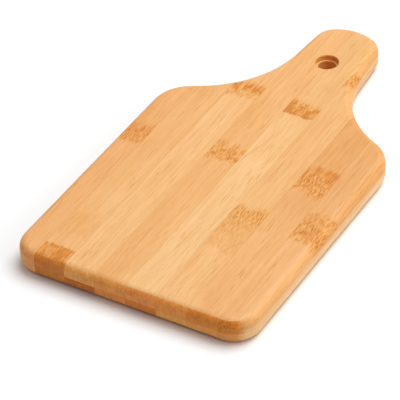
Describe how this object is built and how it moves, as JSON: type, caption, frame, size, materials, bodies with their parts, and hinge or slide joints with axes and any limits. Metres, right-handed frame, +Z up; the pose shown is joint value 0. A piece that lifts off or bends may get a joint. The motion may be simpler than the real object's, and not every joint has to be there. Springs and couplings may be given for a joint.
{
  "type": "bamboo cutting board",
  "caption": "Small bamboo cutting board with a paddle handle, glued from flat lengthwise strips in two plies, with rounded edges and a recessed hole to hang it by.",
  "frame": {"origin": "middle of the bounding box on the resting face: on the centre line, halfway between the front edge and the end of the handle", "axes": "+Y runs along the grain from the front edge to the end of the handle, +Z up from the resting face to the cutting face, +X to the right"},
  "size_m": [0.155, 0.2758, 0.0165],
  "materials": {
    "top_strip_1": "sanded and lightly oiled bamboo, satin",
    "top_strip_2": "sanded and lightly oiled bamboo, satin",
    "top_strip_3": "sanded and lightly oiled bamboo, satin",
    "top_strip_4": "sanded and lightly oiled bamboo, satin",
    "top_strip_5": "sanded and lightly oiled bamboo, satin",
    "top_strip_6": "sanded and lightly oiled bamboo, satin",
    "top_strip_7": "sanded and lightly oiled bamboo, satin",
    "top_strip_8": "sanded and lightly oiled bamboo, satin",
    "base_strip_1": "sanded and lightly oiled bamboo, satin",
    "base_strip_2": "sanded and lightly oiled bamboo, satin",
    "base_strip_3": "sanded and lightly oiled bamboo, satin",
    "base_strip_4": "sanded and lightly oiled bamboo, satin",
    "base_strip_5": "sanded and lightly oiled bamboo, satin",
    "base_strip_6": "sanded and lightly oiled bamboo, satin",
    "base_strip_7": "sanded and lightly oiled bamboo, satin",
    "base_strip_8": "sanded and lightly oiled bamboo, satin"
  },
  "bodies": {
    "root": {"top_strip_1": "top_strip_1", "top_strip_2": "top_strip_2", "top_strip_3": "top_strip_3", "top_strip_4": "top_strip_4", "top_strip_5": "top_strip_5", "top_strip_6": "top_strip_6", "top_strip_7": "top_strip_7", "top_strip_8": "top_strip_8", "base_strip_1": "base_strip_1", "base_strip_2": "base_strip_2", "base_strip_3": "base_strip_3", "base_strip_4": "base_strip_4", "base_strip_5": "base_strip_5", "base_strip_6": "base_strip_6", "base_strip_7": "base_strip_7", "base_strip_8": "base_strip_8"}
  },
  "joints": []
}
